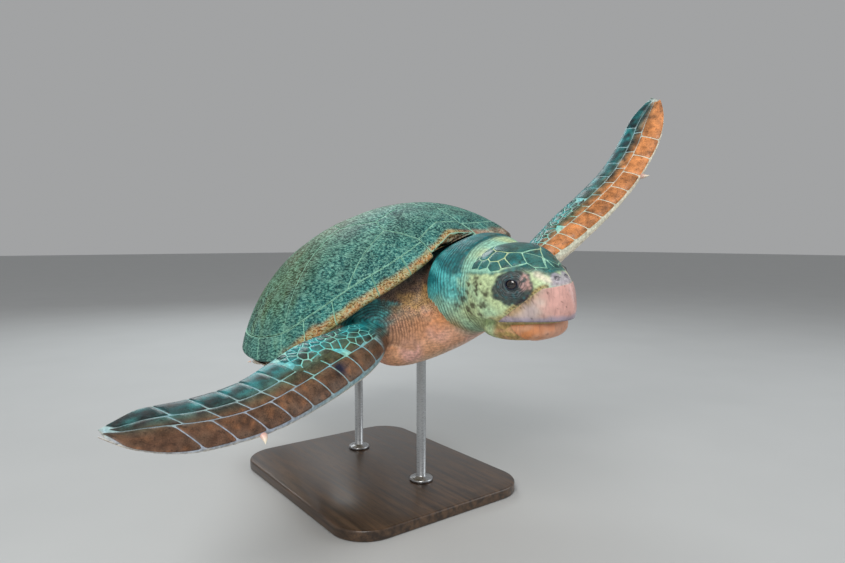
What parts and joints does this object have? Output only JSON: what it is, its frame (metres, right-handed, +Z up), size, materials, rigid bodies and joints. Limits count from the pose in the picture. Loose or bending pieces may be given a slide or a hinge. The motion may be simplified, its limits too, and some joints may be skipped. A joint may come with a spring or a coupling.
{
  "type": "loggerhead turtle",
  "caption": "Life-size loggerhead sea turtle, swimming with its flippers spread and banking to one side, held over a flat base by short rods.",
  "frame": {"origin": "middle of the stand base's underside, on the floor", "axes": "-Y the way the head points, +X towards the turtle's left side, +Z up"},
  "size_m": [1.3201, 1.2397, 1.018],
  "materials": {
    "skin": "moist matte skin with flat horny scales, teal-grey above and orange-buff below",
    "carapace_scute": "weathered horn plates, olive brown with a green algae grain and pale seams",
    "plastron_scute": "smooth cream-yellow horn plates",
    "beak_horn": "worn satin horn, pinkish cream with faint streaks, orange below",
    "claw": "satin pale horn",
    "eye": "wet dark eye",
    "stand_wood": "dark stained satin wood",
    "stand_steel": "brushed steel rods"
  },
  "bodies": {
    "root": {"abdominal_left": "plastron_scute", "abdominal_right": "plastron_scute", "anal_left": "plastron_scute", "anal_right": "plastron_scute", "beak_lower": "beak_horn", "beak_upper": "beak_horn", "bridge_left": "plastron_scute", "bridge_right": "plastron_scute", "claw_front_left": "claw", "claw_front_right": "claw", "claw_hind_left_1": "claw", "claw_hind_left_2": "claw", "claw_hind_right_1": "claw", "claw_hind_right_2": "claw", "costal_left_1": "carapace_scute", "costal_left_2": "carapace_scute", "costal_left_3": "carapace_scute", "costal_left_4": "carapace_scute", "costal_left_5": "carapace_scute", "costal_right_1": "carapace_scute", "costal_right_2": "carapace_scute", "costal_right_3": "carapace_scute", "costal_right_4": "carapace_scute", "costal_right_5": "carapace_scute", "eye_left": "eye", "eye_right": "eye", "femoral_left": "plastron_scute", "femoral_right": "plastron_scute", "front_flipper_left": "skin", "front_flipper_right": "skin", "gular_left": "plastron_scute", "gular_right": "plastron_scute", "head": "skin", "hind_flipper_left": "skin", "hind_flipper_right": "skin", "humeral_left": "plastron_scute", "humeral_right": "plastron_scute", "lower_jaw": "skin", "marginals_left": "carapace_scute", "marginals_right": "carapace_scute", "neck": "skin", "nuchal": "carapace_scute", "pectoral_left": "plastron_scute", "pectoral_right": "plastron_scute", "stand_base": "stand_wood", "stand_rod_front": "stand_steel", "stand_rod_rear": "stand_steel", "tail": "skin", "trunk": "skin", "vertebral_1": "carapace_scute", "vertebral_2": "carapace_scute", "vertebral_3": "carapace_scute", "vertebral_4": "carapace_scute", "vertebral_5": "carapace_scute"}
  },
  "joints": []
}
